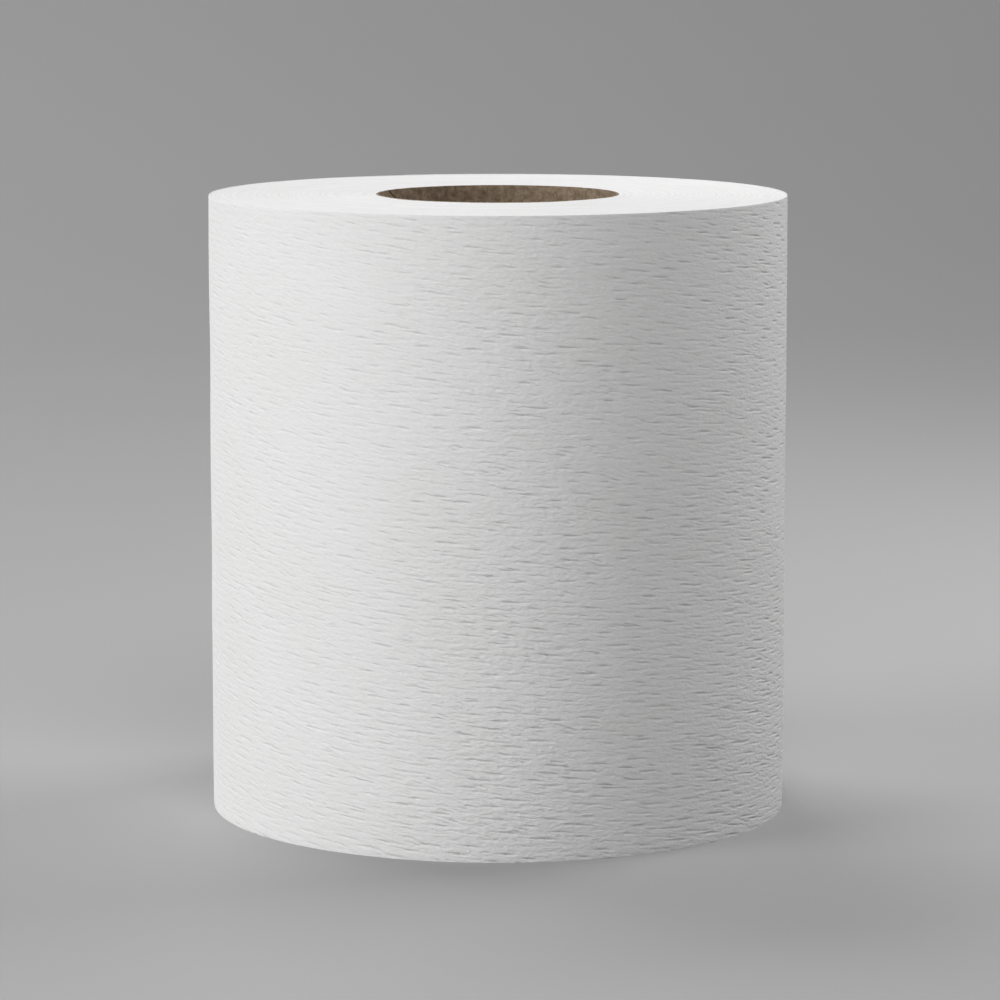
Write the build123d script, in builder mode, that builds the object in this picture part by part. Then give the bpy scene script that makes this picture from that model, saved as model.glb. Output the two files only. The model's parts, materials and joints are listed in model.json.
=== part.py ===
from build123d import *

import os

# Toilet paper roll, standing on one end: one long web of two-ply tissue wound into
# a tight spiral on a plain cardboard core tube, and sawn to width together with it,
# so that paper and core end flush in the same two planes.
#
# Millimetres. The origin is on the roll's axis in the plane of the lower end, and
# +Z runs up the axis. The web's free end, the tail, lies on the side away from -Y.

# Driving dimensions
roll_diameter = 100.0  # over the outermost turn, on the side where the tail ends
roll_width = 106.5  # along the axis, between the two sawn ends
core_bore = 40.8  # clear diameter inside the core, for a holder's spindle
core_wall = 0.5  # chipboard wall of the core
turn_thickness = 0.28  # one two-ply turn as it lies in the roll
glue_line = 0.05  # pick-up glue between the core and the first turn
tail_angle = 110.0  # where the tail ends, in degrees about +Z from +X

# Sizes that follow from them
core_bore_radius = core_bore / 2
core_outer_radius = core_bore_radius + core_wall
first_turn_radius = core_outer_radius + glue_line
tail_half_radius = roll_diameter / 2
HALF_TURN = 180.0


def spiral_outline(radius, pitch, start_angle):
    """The outermost turn's outline, closed by the step at the web's free end.

    Two half circles make the turn. The second has its centre moved by half a pitch
    towards the first one's far end, and a radius less by the same amount, so that
    they join smoothly there and end one pitch apart, at the step.
    """
    centre_shift = Vector(-pitch / 2, 0).rotate(Axis.Z, start_angle)
    upper_half = CenterArc((0, 0), radius, start_angle, HALF_TURN)
    lower_half = CenterArc(
        centre_shift, radius - pitch / 2, start_angle + HALF_TURN, HALF_TURN
    )
    Line(lower_half @ 1, upper_half @ 0)


# The core: a straight tube of chipboard.
with BuildPart() as core_tube:
    with BuildSketch(Plane.XY):
        Circle(core_outer_radius)
        Circle(core_bore_radius, mode=Mode.SUBTRACT)
    extrude(amount=roll_width)
core_tube.part.label = "core_tube"

# The wound web: its turns lie tight on each other, so they are one solid. Inside it
# fits round the core and its glue, and outside its last turn ends in the tail's step.
with BuildPart() as paper_roll:
    with BuildSketch(Plane.XY):
        with BuildLine():
            spiral_outline(tail_half_radius, turn_thickness, tail_angle)
        make_face()
        Circle(first_turn_radius, mode=Mode.SUBTRACT)
    extrude(amount=roll_width)
paper_roll.part.label = "paper_roll"

os.makedirs("parts", exist_ok=True)
for sub_part in (core_tube, paper_roll):
    export_step(sub_part.part, f"parts/{sub_part.part.label}.step")
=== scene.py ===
"""Toilet paper roll: the finish of every surface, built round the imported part.

The roll stands on one end. One long web of creped tissue is wound on a cardboard core
and sawn to width with it. The sawn ends show the wound turns, the outermost turn shows
the crepe and ends in the tail, and the core shows the helical seam of its own ply.

Lengths are metres. Angles are radians about +Z, counted from +X.
"""

import json
import math

import bpy
import numpy as np
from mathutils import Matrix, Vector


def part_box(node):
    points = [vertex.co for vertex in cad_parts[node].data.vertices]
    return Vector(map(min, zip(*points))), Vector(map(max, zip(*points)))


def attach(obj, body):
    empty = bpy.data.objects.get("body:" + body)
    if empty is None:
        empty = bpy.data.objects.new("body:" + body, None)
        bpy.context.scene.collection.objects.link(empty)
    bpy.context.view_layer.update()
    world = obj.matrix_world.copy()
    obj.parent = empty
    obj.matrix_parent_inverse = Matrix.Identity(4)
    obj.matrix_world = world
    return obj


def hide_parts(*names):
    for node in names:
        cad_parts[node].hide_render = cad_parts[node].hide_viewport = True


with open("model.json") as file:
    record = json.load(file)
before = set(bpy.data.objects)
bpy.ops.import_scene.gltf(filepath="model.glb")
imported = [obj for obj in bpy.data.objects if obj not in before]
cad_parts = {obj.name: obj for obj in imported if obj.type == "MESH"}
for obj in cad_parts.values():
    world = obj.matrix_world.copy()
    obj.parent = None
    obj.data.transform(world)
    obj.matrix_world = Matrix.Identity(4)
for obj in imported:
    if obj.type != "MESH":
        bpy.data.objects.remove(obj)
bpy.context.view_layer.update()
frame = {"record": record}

MM = 0.001
FULL_TURN = 2 * math.pi

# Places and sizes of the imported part
core_low, core_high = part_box("core_tube")
roll_low, roll_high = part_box("paper_roll")
core_bore = next(m for m in frame["record"]["mounts"] if m["name"] == "core_bore")
bore_radius = core_bore["dims"]["r_mm"] * MM
core_radius = (core_high.x - core_low.x) / 2
roll_radius = -roll_low.x
bottom, top = roll_low.z, roll_high.z
roll_width = top - bottom

# The web as it is wound
turn_thickness = 0.28 * MM
first_turn_radius = core_radius + 0.05 * MM  # the core, then a line of glue
tail_angle = math.radians(110)

# How finely the surfaces are divided
web_columns = 424  # round one turn of the outermost web
tucked_columns = 16  # the outermost turn starts this many columns under its own tail
web_panels = 4
panel_columns = (web_columns + tucked_columns) // web_panels
web_rows = 850
end_columns = 158
rings_per_turn = 3


# ------------------------------------------------------------------ noise and meshes


def smoothstep(low, high, x):
    """0 at low, 1 at high, 3u^2 - 2u^3 between them, and level beyond them."""
    u = np.clip((x - low) / (high - low), 0, 1)
    return u * u * (3 - 2 * u)


def filtered_noise(rng, shape, size, response):
    """Noise on a periodic sheet: white noise whose spectrum is multiplied by response.

    shape is (rows up the roll, columns round it) and size is (height, length) of the
    sheet. response takes the waves per metre along and up. Its mean square is 1.
    """
    up = np.fft.fftfreq(shape[0], size[0] / shape[0])[:, None]
    along = np.fft.fftfreq(shape[1], size[1] / shape[1])[None, :]
    sheet = np.fft.ifft2(np.fft.fft2(rng.standard_normal(shape)) * response(along, up))
    return sheet / np.sqrt(np.mean(np.abs(sheet) ** 2))


def soft_noise(rng, shape, size, along_length, up_length):
    """Smooth noise: a Gaussian low pass of along_length round the roll by up_length up it."""

    def low_pass(along, up):
        waves = (along * along_length) ** 2 + (up * up_length) ** 2
        return np.exp(-0.5 * FULL_TURN**2 * waves)

    return filtered_noise(rng, shape, size, low_pass).real


def polar(radius, angle, height):
    """The points at a radius and an angle round the roll's axis, and at a height."""
    x, y, z = np.broadcast_arrays(radius * np.cos(angle), radius * np.sin(angle), height)
    return np.stack([x, y, z], axis=-1)


def grid_faces(rows, columns):
    """The corner numbers of a grid's quads, whose points are numbered row by row."""
    corner = np.arange(rows * columns).reshape(rows, columns)
    quads = (corner[:-1, 1:], corner[1:, 1:], corner[1:, :-1], corner[:-1, :-1])
    return np.stack(quads, axis=-1).reshape(-1, 4)


def weld(points, corners):
    """Makes points at the same place one. Returns which are kept, and renumbered corners."""
    same_place = 1e-4 * MM
    places = np.round(points / same_place).astype(np.int64)
    _, kept, same = np.unique(places, axis=0, return_index=True, return_inverse=True)
    return kept, same.reshape(-1)[corners]


def add_piece(name, patches, caps=(), values=()):
    """Builds a closed piece from grid patches and from flat caps, welded where they meet.

    A patch is (points, map places, turned over, normals): rows by columns of points and
    of places on the piece's own map. Its faces look along columns x rows, or the other
    way if it is turned over. With normals it is smooth and keeps them, with "smooth" it
    is smooth, and with None its faces stay flat. A cap is (points, map places) of one
    flat face. A quad whose corners were welded together becomes a triangle, or is left out.
    values are (name, values) pairs for the first patch's points, which the finish reads.
    """
    points, corners, places, normals, smooth, sizes = [], [], [], [], [], []
    count = 0
    for grid, grid_places, turned, grid_normals in patches:
        quads = grid_faces(*grid.shape[:2])
        quads = quads[:, ::-1] if turned else quads
        points.append(grid.reshape(-1, 3))
        places.append(grid_places.reshape(-1, 2)[quads].reshape(-1, 2))
        own = isinstance(grid_normals, np.ndarray)
        corner_normals = grid_normals.reshape(-1, 3)[quads] if own else np.zeros((*quads.shape, 3))
        normals.append(corner_normals.reshape(-1, 3))
        corners.append((quads + count).reshape(-1))
        sizes.append(np.full(len(quads), 4))
        smooth.append(np.full(len(quads), grid_normals is not None))
        count += len(points[-1])
    for outline, outline_places in caps:
        points.append(outline)
        places.append(outline_places)
        normals.append(np.zeros((len(outline), 3)))
        corners.append(np.arange(len(outline)) + count)
        sizes.append(np.array([len(outline)]))
        smooth.append(np.array([False]))
        count += len(outline)
    corners, places, normals = map(np.concatenate, (corners, places, normals))
    sizes, smooth = np.concatenate(sizes), np.concatenate(smooth)
    points = np.concatenate(points)
    kept, corners = weld(points, corners)
    points = points[kept]

    # Corners that repeat the next one of their face go, and so do faces left with two
    face = np.repeat(np.arange(len(sizes)), sizes)
    starts = np.cumsum(sizes) - sizes
    following = np.arange(len(corners)) + 1
    following[starts + sizes - 1] = starts
    keep = corners != corners[following]
    sizes = np.bincount(face[keep], minlength=len(sizes))
    keep &= (sizes > 2)[face]
    smooth, sizes = smooth[sizes > 2], sizes[sizes > 2]
    corners, places, normals = corners[keep], places[keep], normals[keep]

    mesh = bpy.data.meshes.new(name)
    mesh.vertices.add(len(points))
    mesh.vertices.foreach_set("co", points.astype(np.float32).ravel())
    mesh.loops.add(len(corners))
    mesh.loops.foreach_set("vertex_index", corners.astype(np.int32))
    mesh.polygons.add(len(sizes))
    mesh.polygons.foreach_set("loop_start", (np.cumsum(sizes) - sizes).astype(np.int32))
    mesh.polygons.foreach_set("use_smooth", smooth)
    mesh.update(calc_edges=True)
    mesh.uv_layers.new(name="OFBake").data.foreach_set("uv", places.astype(np.float32).ravel())
    for label, first_values in values:
        point_values = np.zeros(count, np.float32)
        point_values[: first_values.size] = first_values.ravel()
        mesh.attributes.new(label, "FLOAT", "POINT").data.foreach_set("value", point_values[kept])
    if normals.any():
        mesh.normals_split_custom_set(normals.tolist())
    piece = bpy.data.objects.new(name, mesh)
    bpy.context.scene.collection.objects.link(piece)
    return piece


def map_area(across, up, low, high):
    """Places on a piece's map: across and up run from 0 to 1 over the area low to high."""
    across, up = np.broadcast_arrays(across, up)
    places = np.stack([across, up], axis=-1)
    return np.array(low) + places * (np.array(high) - np.array(low))


# --------------------------------------------------------------- the outermost turn


def looseness(angle, height):
    """How deep the crepe is at a place of the roll, about 1: loosest in front and low down.

    (all_round + loosened * exp(6 * (cos(angle from the front) - 1)) - pressed * exp(4 *
    (cos(angle from the pressed side) - 1))) * (1 + slope * the share of the way down, from
    -1 at the top to 1 at the bottom).
    """
    front, pressed_side = math.radians(-86), math.radians(-145)
    all_round, loosened, pressed, slope = 0.80, 0.50, 0.30, 0.25
    around = all_round + loosened * np.exp(6 * (np.cos(angle - front) - 1))
    around = around - pressed * np.exp(4 * (np.cos(angle - pressed_side) - 1))
    return around * (1 + slope * (1 - 2 * (height - bottom) / roll_width))


def crepe_relief(rng, loose):
    """How far the creped web stands out over one turn, and how deep in a crease it is.

    The creases lie in level rows a pitch apart, one every spacing along its row, and each
    row is shifted by row_shift of the spacing from the row below. A crease's depth is
    (shallow + deep * exp(-(place along it / length)^2)) * soft noise - flat, and it falls
    off as exp(-(distance / width)^2) from a middle line that leans down along the web.
    Short creases at the folds of narrow-band noise lie between them: the angle of that
    complex noise is the place in the fold, and its size is how deep the fold is. The rows'
    soft swell, small lumps and a slow cockle of the sheet are added. All but the cockle is
    as deep as loose says, rows by columns.
    """
    spare_rows = 60  # so that the relief's lower edge isn't like its upper one
    shape = (web_rows + 1 + spare_rows, web_columns)
    size = (roll_width * shape[0] / web_rows, FULL_TURN * roll_radius)

    def soft(along_mm, up_mm):
        return soft_noise(rng, shape, size, along_mm * MM, up_mm * MM)

    def dashes(along_mm):
        """Soft noise above zero, about 1, that breaks a line into dashes."""
        return np.exp(0.65 * soft(along_mm, 0.30) - 0.2)

    pitch, width, creases_round = 1.097 * MM, 0.145 * MM, 41
    spacing = size[1] / creases_round
    row_shift, length, lean = 0.4, 0.24, 0.11  # shares of the spacing
    shallow, deep, flat, deepest = 0.46, 1.05, 0.28, 3
    height = np.arange(shape[0])[:, None] * roll_width / web_rows
    along = np.arange(shape[1])[None, :] * size[1] / shape[1]
    row = height / pitch + 0.08 * soft(7, 2.5) + 0.045 * soft(0.8, 0.3)
    number = np.floor(row)
    place = (along / spacing - row_shift * number + 0.05 * soft(5, 1)) % 1 - 0.5
    distance = (row - number - 0.5) * pitch + lean * spacing * place
    depth = (shallow + deep * np.exp(-((place / length) ** 2))) * dashes(0.7) - flat
    crease = np.clip(depth, 0, deepest) * np.exp(-((distance / width) ** 2))

    short_pitch, short_width, short_run = 0.78 * MM, 0.10 * MM, 0.7 * MM
    short_spread, short_lean, short_flat, short_share = 0.30, 0.26, 0.55, 0.60

    def short_band(along, up):
        waves = (up * short_pitch - 1) / short_spread
        across = FULL_TURN * (along - short_lean * up) * short_run
        return np.exp(-0.5 * waves**2 - 0.5 * across**2) * (up > 0)

    folds = filtered_noise(rng, shape, size, short_band)
    distance = short_pitch * ((np.angle(folds) / FULL_TURN) % 1 - 0.5)
    depth = np.clip(np.abs(folds) ** 0.5 * dashes(0.6) - short_flat, 0, deepest)
    crease += short_share * depth * np.exp(-((distance / short_width) ** 2))

    swell, crease_depth, lump, cockle = 0.008 * MM, 0.104 * MM, 0.004 * MM, 0.030 * MM
    relief = swell * np.cos(FULL_TURN * row) - crease_depth * crease
    relief += lump * soft(1.2, 0.7)
    cockled = cockle * soft(9, 5)
    rows = slice(0, web_rows + 1)
    return (relief - relief.mean())[rows] * loose + cockled[rows], crease[rows] * loose


def outer_turn_points(rng):
    """The outermost turn's outer and inner points, and the values for its finish: the crease depth,
    which sets the painted shade in the creases, and the looseness.

    The outer radius grows by one turn's thickness in one turn, from under the tail to
    the tail, and carries the crepe. The last stretch before the tail's edge lifts a
    little, and the edge itself wanders and keeps the torn ties of its perforation.
    """
    column = np.arange(web_columns + tucked_columns + 1)[None, :]
    angle = tail_angle + (column - tucked_columns) * FULL_TURN / web_columns
    height = np.linspace(bottom, top, web_rows + 1)[:, None]
    loose = looseness(angle, height)
    sheets = crepe_relief(rng, loose[:, :web_columns])
    relief, crease = (sheet[:, column[0] % web_columns] for sheet in sheets)

    past = (column - tucked_columns) / web_columns
    outer = roll_radius - turn_thickness * (1 - past)
    to_tail = (column[0, -1] - column) * FULL_TURN / web_columns * roll_radius

    def along_tail(values):
        """Straight lines between values at even heights, from the bottom to the top."""
        return np.interp(height[:, 0], np.linspace(bottom, top, len(values)), values)

    tail_length, tail_lift = 13 * MM, 0.55 * MM
    waves = along_tail(rng.uniform(0.3, 1, 9))
    lift = tail_lift * smoothstep(0, 1, 1 - to_tail / tail_length) ** 2 * waves[:, None]

    tie_pitch, tie_width, torn_length = 6.2 * MM, 0.32 * MM, 3 * MM
    ties = np.arange(bottom + tie_pitch / 2, top, tie_pitch)
    reach = rng.uniform(0.15, 0.55, len(ties)) * MM
    teeth = (reach * np.exp(-(((height - ties) / tie_width) ** 2))).sum(axis=1)
    wander = along_tail(rng.normal(0, 0.12, 40)) * MM
    edge = (teeth + wander)[:, None] * smoothstep(torn_length, 0, to_tail)

    angle = angle + edge / roll_radius
    rounding, rounded_height = 0.05 * MM, 0.35 * MM
    from_end = np.minimum(height - bottom, top - height)
    soft_ends = rounding * (1 - smoothstep(0, rounded_height, from_end))
    outside = polar(outer + relief + lift - soft_ends, angle, height)
    inside = polar(outer - turn_thickness + lift, angle, height)
    return outside, inside, {"crease": crease, "loose": loose}


def surface_normals(points):
    """Unit normals of a grid of points: the step to the next column x the step up a row."""
    along = np.gradient(points, axis=1)
    up = np.gradient(points, axis=0)
    normals = np.cross(along, up)
    return normals / np.linalg.norm(normals, axis=-1, keepdims=True)


def outer_turn(number, outside, inside, normals, finish):
    """One panel of the outermost turn: a thin closed shell with the crepe on its outside."""
    first = number * panel_columns
    span = slice(first, first + panel_columns + 1)
    across = np.linspace(0, 1, panel_columns + 1)[None, :]
    up = np.linspace(0, 1, web_rows + 1)[:, None]
    ends = np.array([[0], [1]])
    outer, inner = outside[:, span], inside[[0, -1], span]
    upper_rim = np.stack([outer[-1], inner[-1]])
    lower_rim = np.stack([outer[0], inner[0]])
    patches = [
        (outer, map_area(across, up, (0, 0), (0.94, 0.98)), False, normals[:, span]),
        (inner, map_area(across, ends, (0.95, 0), (0.97, 0.98)), True, None),
        (upper_rim, map_area(across, ends, (0, 0.985), (0.94, 0.99)), False, None),
        (lower_rim, map_area(across, ends, (0, 0.993), (0.94, 0.998)), True, None),
    ]
    caps = []
    for side, start in ((0, 0.975), (-1, 0.99)):
        outline = np.concatenate([outer[:, side], inner[::-1, side]])
        outline_across = np.repeat([0, 1], [len(outer), 2])
        outline_up = np.append(up, [1, 0])
        places = map_area(outline_across, outline_up, (start, 0), (start + 0.008, 0.98))
        turn = slice(None) if side == 0 else slice(None, None, -1)
        caps.append((outline[turn], places[turn]))
    values = [(label, sheet[:, span]) for label, sheet in finish.items()]
    return add_piece(f"outer_turn_{number + 1}", patches, caps, values)


# -------------------------------------------------------------------- the wound turns


def wound_turns(rng):
    """The turns under the outermost one, with both sawn ends, as one closed piece.

    An end is a spiral strip: ring i at angle a has radius start + pitch * (i / rings per
    turn + a / full turn), cut off inside at the first turn's radius. A ring in three is
    the groove between two turns. Each turn's edge stands a little high or low, which
    changes slowly along the web, and the whole end is gently uneven.
    """
    clearance = 0.012 * MM  # so that the outermost turn's inside isn't cut through
    last_radius = roll_radius - turn_thickness - clearance
    turns = math.ceil((last_radius - first_turn_radius) / turn_thickness)
    rings = turns * rings_per_turn
    ring = np.arange(rings + 1)[:, None]
    column = np.arange(end_columns + 1)[None, :]
    start_angle = tail_angle - tucked_columns * FULL_TURN / web_columns
    angle = start_angle + column * FULL_TURN / end_columns
    wound = ring / rings_per_turn + column / end_columns
    radius = last_radius + (wound - 1 - turns) * turn_thickness
    radius = np.maximum(radius, first_turn_radius)

    def along_web(smooth_columns):
        """Noise along the unrolled web, looked up by how many turns are wound below."""
        shape = (1, (turns + 2) * end_columns)
        line = soft_noise(rng, shape, (1.0, float(shape[1])), smooth_columns, 0)[0]
        turn_number = ring // rings_per_turn
        return line[turn_number * end_columns + column]

    def uneven(width):
        """Slow unevenness over the end, about 1: the sum of plane waves about width long."""
        waves = 12
        total = np.zeros(radius.shape)
        for _ in range(waves):
            way, phase = rng.uniform(0, FULL_TURN, 2)
            wave = FULL_TURN / (width * rng.uniform(0.7, 1.8))
            total += np.cos(wave * radius * np.cos(angle - way) + phase)
        return total / math.sqrt(waves / 2)

    fade = 2 * MM
    inner_fade = smoothstep(first_turn_radius, first_turn_radius + fade, radius)
    outer_fade = 1 - smoothstep(last_radius - fade, last_radius - turn_thickness, radius)
    sway, groove_depth, edge_step, end_wave = 0.10 * MM, 0.035 * MM, 0.016 * MM, 0.03 * MM
    swayed = radius + sway * uneven(22 * MM) * inner_fade * outer_fade
    groove = (ring % rings_per_turn == 0) * groove_depth * (1 + 0.5 * along_web(6))

    def end_height():
        height = edge_step * along_web(9) + end_wave * uneven(16 * MM) - groove
        return height * (radius > first_turn_radius)

    sunk = 0.04 * MM  # so that the highest edges are level with the outermost turn's
    upper = polar(swayed, angle, top - sunk + end_height())
    lower = polar(swayed, angle, bottom + sunk - end_height())

    # Each end is a disc on the map, at opposite corners of it
    disc = 0.29 / roll_radius
    upper_map = 0.293 + disc * upper[..., :2]
    lower_map = 0.707 + disc * lower[..., :2]
    across = np.linspace(0, 1, end_columns + 1)[None, :]
    ends = np.array([[0], [1]])
    inner_wall = np.stack([lower[0], upper[0]])
    outer_wall = np.stack([lower[-1], upper[-1]])
    step = slice(-1, -2 - rings_per_turn, -1)
    step_wall = np.stack([lower[step, -1], upper[step, -1]])
    step_across = np.linspace(0, 1, rings_per_turn + 1)[None, :]
    patches = [
        (upper, upper_map, True, "smooth"),
        (lower, lower_map, False, "smooth"),
        (inner_wall, map_area(across, ends, (0.62, 0.02), (0.98, 0.16)), True, "smooth"),
        (outer_wall, map_area(across, ends, (0.62, 0.18), (0.98, 0.32)), False, "smooth"),
        (step_wall, map_area(step_across, ends, (0.62, 0.34), (0.66, 0.38)), False, None),
    ]
    return add_piece("wound_turns", patches)


# ----------------------------------------------------------------------------- core


def core(rng):
    """The core tube, spirally wound from a ply of chipboard whose edges butt in a seam.

    The inside is the ply's own strip: at angle a and distance v across the ply its
    height is lead * (a / full turn - 1) + v, cut off at both ends of the tube. The seam
    is a groove along the strip's two edges, so it runs up the inside as a helix.
    """
    lead = 74 * MM
    columns = 200
    seam_width, seam_depth, seam_swell = 0.35 * MM, 0.16 * MM, 0.05 * MM
    inset, out_of_round, ripple_height = 0.12 * MM, 0.06 * MM, 0.02 * MM
    near_seam = np.array([0, 0.12, 0.25, 0.4, 0.9]) * MM
    middle = np.linspace(2.2 * MM, lead - 2.2 * MM, 26)
    across_ply = np.concatenate([near_seam, middle, lead - near_seam[::-1]])[:, None]
    steps = math.ceil((roll_width + lead) / lead * columns)
    angle = np.arange(steps + 1)[None, :] * FULL_TURN / columns
    phases = rng.uniform(0, FULL_TURN, 4)

    def inside_radius(angle, height):
        from_seam = (height - bottom - lead * angle / FULL_TURN) % lead
        from_seam = np.minimum(from_seam, lead - from_seam)
        groove = seam_depth * (1 - smoothstep(0, seam_width, from_seam))
        swell = seam_swell * smoothstep(seam_width, 3 * MM, from_seam)
        oval = out_of_round * np.cos(2 * angle + phases[0] + 12 * height)
        ripple = ripple_height * np.cos(5 * angle + phases[1] - 60 * height)
        return bore_radius + inset + groove - swell + oval + ripple

    def inside_normals(angle, height):
        """The inward normals of the bore: the step upwards x the step round it."""
        up, turn = 0.01 * MM, 0.01 * MM / bore_radius
        below, above = height - up, height + up
        before, after = angle - turn, angle + turn
        upwards = polar(inside_radius(angle, above), angle, above)
        upwards = upwards - polar(inside_radius(angle, below), angle, below)
        round_it = polar(inside_radius(after, height), after, height)
        round_it = round_it - polar(inside_radius(before, height), before, height)
        normals = np.cross(upwards, round_it)
        return normals / np.linalg.norm(normals, axis=-1, keepdims=True)

    height = np.clip(bottom + lead * (angle / FULL_TURN - 1) + across_ply, bottom, top)
    inside = polar(inside_radius(angle, height), angle, height)
    normals = inside_normals(angle, height)

    ring_angle = np.arange(columns + 1)[None, :] * FULL_TURN / columns
    share = np.array([0, 0.2, 0.5, 0.8, 1])[:, None]

    def sawn_end(height, outwards):
        inner_edge = inside_radius(ring_angle, height)
        radius = inner_edge + share * (core_radius - inner_edge)
        fray = rng.normal(0, 0.012, (len(share), columns)) * MM
        fray = np.concatenate([fray, fray[:, :1]], axis=1)
        fray[[0, -1]] = 0
        dip = 0.01 * MM * (share > 0) * (share < 1)
        return polar(radius, ring_angle, height + outwards * (fray - dip))

    upper, lower = sawn_end(top, 1), sawn_end(bottom, -1)
    outside = np.stack([lower[-1], upper[-1]])
    around = np.linspace(0, 1, columns + 1)[None, :]
    inside_map = map_area(angle / angle.max(), across_ply / lead, (0, 0), (1, 0.85))
    ends = np.array([[0], [1]])
    patches = [
        (inside, inside_map, True, normals),
        (upper, map_area(around, share, (0, 0.87), (1, 0.89)), True, None),
        (lower, map_area(around, share, (0, 0.90), (1, 0.92)), False, None),
        (outside, map_area(around, ends, (0, 0.93), (1, 0.98)), False, "smooth"),
    ]
    return add_piece("core", patches)


# ------------------------------------------------------------------------- materials


def new_material(name):
    """A node material with a Principled shader, its tree and that shader."""
    material = bpy.data.materials.new(name)
    material.use_nodes = True
    tree = material.node_tree
    return material, tree, tree.nodes["Principled BSDF"]


def object_noise(tree, scale, detail=3.0, roughness=0.55, length=(1, 1, 1), lean=0):
    """Noise over Object coordinates, in waves per metre. Returns its value.

    The grain is length times as long along each axis, and leans by an angle about Y.
    """
    place = tree.nodes.new("ShaderNodeTexCoord")
    mapping = tree.nodes.new("ShaderNodeMapping")
    mapping.vector_type = "TEXTURE"
    mapping.inputs["Rotation"].default_value = (0, lean, 0)
    mapping.inputs["Scale"].default_value = length
    noise = tree.nodes.new("ShaderNodeTexNoise")
    noise.inputs["Scale"].default_value = scale
    noise.inputs["Detail"].default_value = detail
    noise.inputs["Roughness"].default_value = roughness
    tree.links.new(place.outputs["Object"], mapping.inputs["Vector"])
    tree.links.new(mapping.outputs["Vector"], noise.inputs["Vector"])
    return noise.outputs["Factor" if "Factor" in noise.outputs else "Fac"]


def ring_noise(tree, scale):
    """Noise over the distance from the roll's axis alone, in waves per metre."""
    place = tree.nodes.new("ShaderNodeTexCoord")
    flat = tree.nodes.new("ShaderNodeMapping")
    flat.inputs["Scale"].default_value = (1, 1, 0)
    radius = tree.nodes.new("ShaderNodeVectorMath")
    radius.operation = "LENGTH"
    noise = tree.nodes.new("ShaderNodeTexNoise")
    noise.noise_dimensions = "1D"
    noise.inputs["Scale"].default_value = scale
    noise.inputs["Detail"].default_value = 2.0
    tree.links.new(place.outputs["Object"], flat.inputs["Vector"])
    tree.links.new(flat.outputs["Vector"], radius.inputs[0])
    tree.links.new(radius.outputs["Value"], noise.inputs["W"])
    return noise.outputs["Factor" if "Factor" in noise.outputs else "Fac"]


def point_value(tree, label):
    """A value that the mesh's own points carry."""
    node = tree.nodes.new("ShaderNodeAttribute")
    node.attribute_name = label
    return node.outputs["Fac"]


def product(tree, first, second):
    """Two values multiplied."""
    node = tree.nodes.new("ShaderNodeMath")
    node.operation = "MULTIPLY"
    tree.links.new(first, node.inputs[0])
    tree.links.new(second, node.inputs[1])
    return node.outputs["Value"]


def ramp(tree, value, stops):
    """A colour ramp over a value. stops are (position, linear colour)."""
    node = tree.nodes.new("ShaderNodeValToRGB")
    elements = node.color_ramp.elements
    while len(elements) < len(stops):
        elements.new(0.5)
    for element, (position, colour) in zip(elements, stops):
        element.position = position
        element.color = (*colour, 1)
    tree.links.new(value, node.inputs["Fac"])
    return node.outputs["Color"]


def grey(value):
    """A grey as a linear colour."""
    return (value, value, value)


def mix(tree, blend, amount, first, second):
    """Two colours mixed by a blend mode. amount is a number or a socket."""
    node = tree.nodes.new("ShaderNodeMix")
    node.data_type = "RGBA"
    node.blend_type = blend
    if isinstance(amount, float):
        node.inputs["Factor"].default_value = amount
    else:
        tree.links.new(amount, node.inputs["Factor"])
    tree.links.new(first, node.inputs["A"])
    if isinstance(second, tuple):
        node.inputs["B"].default_value = (*second, 1)
    else:
        tree.links.new(second, node.inputs["B"])
    return node.outputs["Result"]


def bump(tree, shader, layers):
    """Bumps laid one on another. layers are (height socket, strength, distance)."""
    below = None
    for height, strength, distance in layers:
        node = tree.nodes.new("ShaderNodeBump")
        node.inputs["Strength"].default_value = strength
        node.inputs["Distance"].default_value = distance
        tree.links.new(height, node.inputs["Height"])
        if below is not None:
            tree.links.new(below, node.inputs["Normal"])
        below = node.outputs["Normal"]
    tree.links.new(below, shader.inputs["Normal"])


def tissue(name, crepe):
    """Soft white tissue.

    With crepe, its colour carries painted shade in the creases, darker where they are deeper and the
    crepe looser, and it has fine wrinkles that lean down along the web, as deep as the points'
    looseness.
    Without it, it is a sawn end: rings of a shade for its turns.
    """
    material, tree, shader = new_material(name)
    shader.inputs["Specular IOR Level"].default_value = 0.25
    shader.inputs["Sheen Weight"].default_value = 0.06
    shader.inputs["Sheen Roughness"].default_value = 0.6

    cloudy = object_noise(tree, 55, 2.0)
    white = 0.875 if crepe else 0.86
    colour = ramp(tree, cloudy, [(0.35, (white, white, 0.994 * white)), (0.65, grey(1.015 * white))])
    furnish = object_noise(tree, 1800, 3.0, 0.6)
    specks = ramp(tree, furnish, [(0.25, grey(0.965)), (0.6, grey(1.0))])
    colour = mix(tree, "MULTIPLY", 1.0, colour, specks)
    if crepe:
        # Painted shade: the colour darkens by up to 6% with the points' crease depth, in place of
        # the shadow inside the creases
        shade = ramp(tree, point_value(tree, "crease"), [(0.0, grey(1.0)), (1.0, grey(0.94))])
    else:
        shade = ramp(tree, ring_noise(tree, 2400), [(0.30, grey(0.90)), (0.62, grey(1.0))])
    colour = mix(tree, "MULTIPLY", 1.0, colour, shade)
    tree.links.new(colour, shader.inputs["Base Color"])

    rough = ramp(tree, object_noise(tree, 900, 3.0), [(0.3, grey(0.86)), (0.7, grey(0.98))])
    tree.links.new(rough, shader.inputs["Roughness"])

    fibres = object_noise(tree, 5200, 4.0, 0.65)
    layers = [(fibres, 0.35, 0.03 * MM)]
    if crepe:
        wrinkles = object_noise(tree, 2300, 2.0, 0.6, (2.4, 2.4, 1), math.radians(5.5))
        wrinkles = product(tree, wrinkles, point_value(tree, "loose"))
        layers.insert(0, (wrinkles, 1.0, 0.16 * MM))
    bump(tree, shader, layers)
    return material


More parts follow.
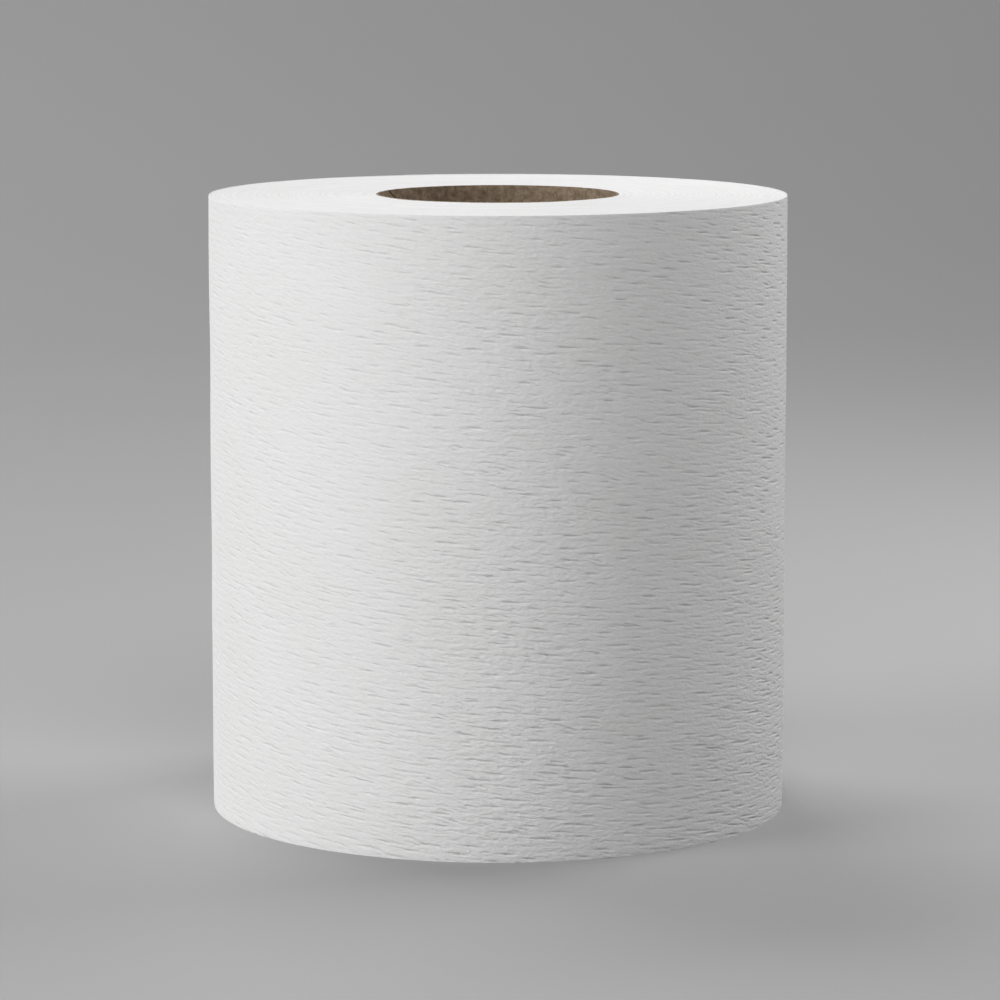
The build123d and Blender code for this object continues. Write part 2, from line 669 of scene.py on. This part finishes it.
def chipboard():
    """Grey-brown recycled chipboard: mottled pulp, pale and dark fibres, matt."""
    material, tree, shader = new_material("core_chipboard")
    shader.inputs["Specular IOR Level"].default_value = 0.3
    mottle = object_noise(tree, 900, 4.0, 0.62)
    colour = ramp(
        tree,
        mottle,
        [(0.3, (0.19, 0.135, 0.088)), (0.5, (0.28, 0.210, 0.146)), (0.72, (0.42, 0.335, 0.245))],
    )
    flecks = ramp(tree, object_noise(tree, 2600, 2.0, 0.5), [(0.28, grey(0.55)), (0.40, grey(1.0))])
    colour = mix(tree, "MULTIPLY", 0.8, colour, flecks)
    pale = ramp(tree, object_noise(tree, 3300, 2.0, 0.5), [(0.66, grey(0.0)), (0.76, grey(1.0))])
    colour = mix(tree, "MIX", pale, colour, (0.55, 0.48, 0.38))
    tree.links.new(colour, shader.inputs["Base Color"])
    rough = ramp(tree, mottle, [(0.3, grey(0.95)), (0.7, grey(0.80))])
    tree.links.new(rough, shader.inputs["Roughness"])
    pulp = object_noise(tree, 3000, 4.0, 0.6)
    bump(tree, shader, [(mottle, 0.4, 0.12 * MM), (pulp, 0.4, 0.05 * MM)])
    return material


def floor_finish():
    """The floor's plain pale grey, very slightly cloudy."""
    material, tree, shader = new_material("floor_paint")
    shader.inputs["Roughness"].default_value = 0.9
    shader.inputs["Specular IOR Level"].default_value = 0.1
    cloudy = object_noise(tree, 3, 2.0)
    colour = ramp(tree, cloudy, [(0.3, grey(0.43)), (0.7, grey(0.44))])
    tree.links.new(colour, shader.inputs["Base Color"])
    return material


# -------------------------------------------------------------------- floor and light


def studio_floor():
    """A round cove: a level disc that curves up evenly, turned about the roll's axis.

    Past the level part the height is bend * rise^steepness, with rise from 0 to 1 over bend.
    """
    level, bend, steepness = 0.8, 2.2, 2.5
    rise = np.linspace(0, 1, 40)
    centre_hole = 0.001
    radius = np.concatenate([[centre_hole], level + bend * rise])
    height = np.concatenate([[0], bend * rise**steepness])
    angle = np.linspace(0, FULL_TURN, 97)[None, :]
    points = polar(radius[:, None], angle, bottom + height[:, None])
    faces = grid_faces(*points.shape[:2])[:, ::-1]
    mesh = bpy.data.meshes.new("floor")
    mesh.from_pydata(points.reshape(-1, 3).tolist(), [], faces.tolist())
    mesh.polygons.foreach_set("use_smooth", np.ones(len(mesh.polygons), bool))
    floor = bpy.data.objects.new("floor", mesh)
    bpy.context.scene.collection.objects.link(floor)
    floor.data.materials.append(floor_finish())


def add_softbox(name, bearing, elevation, distance, width, height, power):
    """A rectangular soft light aimed at the roll's middle.

    bearing and elevation are in degrees. bearing turns clockwise as seen from above, from
    the camera's side. distance is to the roll's middle, and power is in watts.
    """
    light = bpy.data.lights.new(name, "AREA")
    light.shape = "RECTANGLE"
    light.size, light.size_y, light.energy = width, height, power
    lamp = bpy.data.objects.new(name, light)
    turn, rise = math.radians(bearing), math.radians(elevation)
    middle = (bottom + top) / 2
    lamp.location = (
        -distance * math.cos(rise) * math.sin(turn),
        -distance * math.cos(rise) * math.cos(turn),
        middle + distance * math.sin(rise),
    )
    lamp.rotation_euler = (math.pi / 2 - rise, 0, -turn)
    lamp.visible_camera = False
    bpy.context.scene.collection.objects.link(lamp)


def add_light():
    """A soft key on the left, one above the camera, one high behind, one near on the right."""
    add_softbox("key_light", 65, 15, 1.2, 0.6, 0.6, 8.1)
    add_softbox("front_light", -10, 48, 1.2, 0.6, 0.6, 4.8)
    add_softbox("back_light", 150, 48, 2.0, 1.33, 1.0, 20.5)
    add_softbox("side_light", -122, 42, 0.55, 0.25, 0.25, 1.28)
    room = bpy.data.worlds.new("room")
    room.use_nodes = True
    background = room.node_tree.nodes["Background"]
    background.inputs["Color"].default_value = (1, 1, 1, 1)
    background.inputs["Strength"].default_value = 0.02
    bpy.context.scene.world = room


def add_camera():
    """A long lens in front of the roll, a little above it and looking slightly down."""
    camera = bpy.data.cameras.new("camera")
    camera.lens = 156.2
    camera.sensor_width = 36
    camera.clip_start = 0.05
    aside, distance, height, degrees_down = 0.0004, 0.7479, 0.1607, 8.185
    viewer = bpy.data.objects.new("camera", camera)
    viewer.location = (aside, -distance, bottom + height)
    viewer.rotation_euler = (math.radians(90 - degrees_down), 0, 0)
    bpy.context.scene.collection.objects.link(viewer)
    bpy.context.scene.camera = viewer


# ------------------------------------------------------------------------ the object


def make_roll():
    """Makes each piece, gives it its finish, hangs it under the root body, and hides the imported
    part that it replaces.
    """
    rng = np.random.default_rng(27)
    outside, inside, finish = outer_turn_points(rng)
    normals = surface_normals(outside)
    creped, sawn = tissue("tissue_creped", True), tissue("tissue_sawn", False)
    made = []
    for number in range(web_panels):
        panel = outer_turn(number, outside, inside, normals, finish)
        made.append((panel, creped, "paper_roll", "tissue"))
    made.append((wound_turns(rng), sawn, "paper_roll", "tissue"))
    made.append((core(rng), chipboard(), "core_tube", "core_chipboard"))
    for piece, material, node, slot in made:
        piece.data.materials.append(material)
        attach(piece, "root")
        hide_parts(node)


add_camera()
studio_floor()
add_light()
make_roll()
bpy.context.scene.view_settings.view_transform = "Standard"
